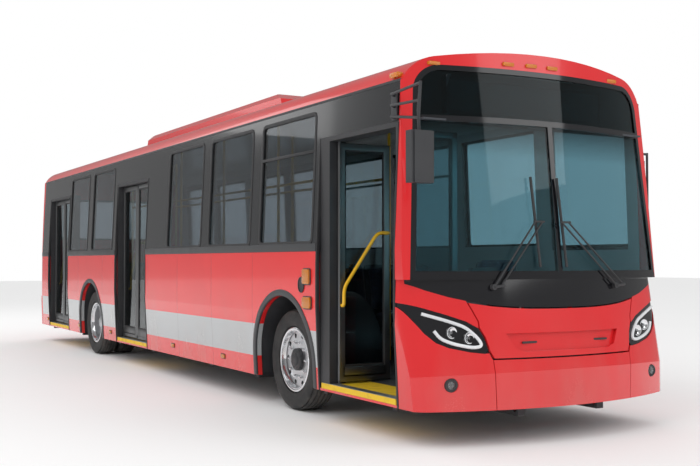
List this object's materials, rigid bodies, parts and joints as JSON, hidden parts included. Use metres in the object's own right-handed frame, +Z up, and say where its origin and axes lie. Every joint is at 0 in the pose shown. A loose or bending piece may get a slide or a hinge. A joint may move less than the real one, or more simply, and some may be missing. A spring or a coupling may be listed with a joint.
{
  "type": "three-door city bus",
  "caption": "Low-floor city bus with inward-folding double doors, bonded window band, roof air conditioning cover, steered front wheels and twin rear wheels.",
  "frame": {"origin": "on the ground, in the middle of the overall box", "axes": "+Z up, the bus faces -Y, its doors are on the -X side"},
  "size_m": [2.944, 12.25, 3.2003],
  "materials": {
    "red_paint": "gloss",
    "black_paint": "gloss",
    "frame_steel": "matt",
    "rubber": "matt",
    "tyre": "matt",
    "alloy": "satin",
    "clear_glass": "clear",
    "tinted_glass": "tinted",
    "dark_plastic": "grained",
    "lamp_clear": "clear",
    "lamp_red": "gloss",
    "floor_cover": "studded",
    "seat_fabric": "woven",
    "yellow_rail": "gloss"
  },
  "bodies": {
    "body": {"chassis_frame": "frame_steel", "floor": "floor_cover", "wheel_housings": "dark_plastic", "side_panels_right": "red_paint", "side_panels_left": "red_paint", "window_band_right": "black_paint", "window_band_left": "black_paint", "roof": "red_paint", "roof_pod": "red_paint", "front_mask": "red_paint", "front_bumper": "red_paint", "screen_frame": "rubber", "front_glass": "clear_glass", "side_glass": "tinted_glass", "rear_wall": "red_paint", "rear_bumper": "red_paint", "rear_window": "tinted_glass", "front_lamps": "lamp_clear", "rear_lamps": "lamp_red", "door_frames": "black_paint", "mirrors": "dark_plastic", "wipers": "black_paint", "dashboard": "dark_plastic", "steering_wheel": "dark_plastic", "driver_seat": "seat_fabric", "passenger_seats": "seat_fabric", "handrails": "yellow_rail", "engine": "frame_steel", "front_axle": "frame_steel", "rear_axle": "frame_steel"},
    "right_knuckle": {"knuckle_right": "frame_steel"},
    "left_knuckle": {"knuckle_left": "frame_steel"},
    "front_right_wheel": {"front_right_tyre": "tyre", "front_right_rim": "alloy"},
    "front_left_wheel": {"front_left_tyre": "tyre", "front_left_rim": "alloy"},
    "rear_right_wheel": {"rear_right_tyres": "tyre", "rear_right_rims": "alloy"},
    "rear_left_wheel": {"rear_left_tyres": "tyre", "rear_left_rims": "alloy"},
    "front_door_front": {"front_door_front_leaf": "black_paint"},
    "front_door_rear": {"front_door_rear_leaf": "black_paint"},
    "middle_door_front": {"middle_door_front_leaf": "black_paint"},
    "middle_door_rear": {"middle_door_rear_leaf": "black_paint"},
    "rear_door_front": {"rear_door_front_leaf": "black_paint"},
    "rear_door_rear": {"rear_door_rear_leaf": "black_paint"},
    "engine_lid": {"engine_lid": "red_paint"},
    "front_lid": {"front_lid": "red_paint"}
  },
  "joints": [
    {"name": "steer_right", "type": "hinge", "parent": "body", "child": "right_knuckle", "pos_m": [-0.8625, -3.655, 0.465], "axis": [0, 0, 1], "range_deg": [-38, 38]},
    {"name": "steer_left", "type": "hinge", "parent": "body", "child": "left_knuckle", "pos_m": [0.8625, -3.655, 0.465], "axis": [0, 0, 1], "range_deg": [-38, 38]},
    {"name": "front_right_spin", "type": "hinge", "parent": "right_knuckle", "child": "front_right_wheel", "pos_m": [-1.0545, -3.655, 0.465], "axis": [1, 0, 0], "continuous": true},
    {"name": "front_left_spin", "type": "hinge", "parent": "left_knuckle", "child": "front_left_wheel", "pos_m": [1.0545, -3.655, 0.465], "axis": [1, 0, 0], "continuous": true},
    {"name": "rear_right_spin", "type": "hinge", "parent": "body", "child": "rear_right_wheel", "pos_m": [-1, 2.855, 0.465], "axis": [1, 0, 0], "continuous": true},
    {"name": "rear_left_spin", "type": "hinge", "parent": "body", "child": "rear_left_wheel", "pos_m": [1, 2.855, 0.465], "axis": [1, 0, 0], "continuous": true},
    {"name": "front_door_front_hinge", "type": "hinge", "parent": "body", "child": "front_door_front", "pos_m": [-1.1775, -5.5475, 1], "axis": [0, 0, 1], "range_deg": [0, 90]},
    {"name": "front_door_rear_hinge", "type": "hinge", "parent": "body", "child": "front_door_rear", "pos_m": [-1.1775, -4.5505, 1], "axis": [0, 0, 1], "range_deg": [-90, 0]},
    {"name": "middle_door_front_hinge", "type": "hinge", "parent": "body", "child": "middle_door_front", "pos_m": [-1.1775, 0.3275, 1], "axis": [0, 0, 1], "range_deg": [-90, 0]},
    {"name": "middle_door_rear_hinge", "type": "hinge", "parent": "body", "child": "middle_door_rear", "pos_m": [-1.1775, 1.5265, 1], "axis": [0, 0, 1], "range_deg": [0, 90]},
    {"name": "rear_door_front_hinge", "type": "hinge", "parent": "body", "child": "rear_door_front", "pos_m": [-1.1775, 4.2305, 1], "axis": [0, 0, 1], "range_deg": [-90, 0]},
    {"name": "rear_door_rear_hinge", "type": "hinge", "parent": "body", "child": "rear_door_rear", "pos_m": [-1.1775, 5.4295, 1], "axis": [0, 0, 1], "range_deg": [0, 90]},
    {"name": "engine_lid_hinge", "type": "hinge", "parent": "body", "child": "engine_lid", "pos_m": [0, 6.0763, 1.566], "axis": [1, 0, 0], "range_deg": [0, 75]},
    {"name": "front_lid_hinge", "type": "hinge", "parent": "body", "child": "front_lid", "pos_m": [0, -5.95553, 1.19], "axis": [-1, 0, 0], "range_deg": [0, 60]}
  ],
  "couplings": [
    {"joint": "steer_left", "follows": "steer_right", "ratio": 1}
  ]
}
